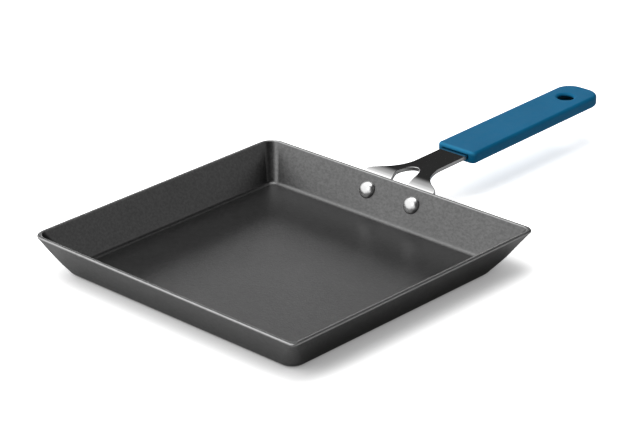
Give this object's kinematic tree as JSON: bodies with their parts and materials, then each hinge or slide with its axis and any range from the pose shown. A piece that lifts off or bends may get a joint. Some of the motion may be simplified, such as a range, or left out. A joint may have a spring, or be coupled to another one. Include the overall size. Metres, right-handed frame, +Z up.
{
  "type": "omelette pan",
  "caption": "Nearly square, shallow metal omelette pan with flared walls, a riveted steel strap handle with an egg-shaped opening, and a slip-on blue rubber grip with a hang hole.",
  "frame": {"origin": "centre of the pan's flat base, on the surface it stands on", "axes": "+X along the handle away from the pan, +Z up out of the open pan"},
  "size_m": [0.3562, 0.189, 0.0294],
  "materials": {
    "pan_metal": "dark grey coated or seasoned pressed steel, satin, slightly mottled",
    "strap_steel": "smooth stainless plate with rounded, punched edges",
    "rivet_steel": "bright domed rivet heads",
    "grip_rubber": "matt blue silicone with soft edges"
  },
  "bodies": {
    "pan": {"pan_body": "pan_metal", "handle_bar": "strap_steel", "rivet_left": "rivet_steel", "rivet_right": "rivet_steel"},
    "sleeve": {"grip_sleeve": "grip_rubber"}
  },
  "joints": [
    {"name": "sleeve_slide", "type": "slide", "parent": "pan", "child": "sleeve", "axis": [0.9998, 0, 0.0192], "range_m": [0, 0.125]}
  ]
}
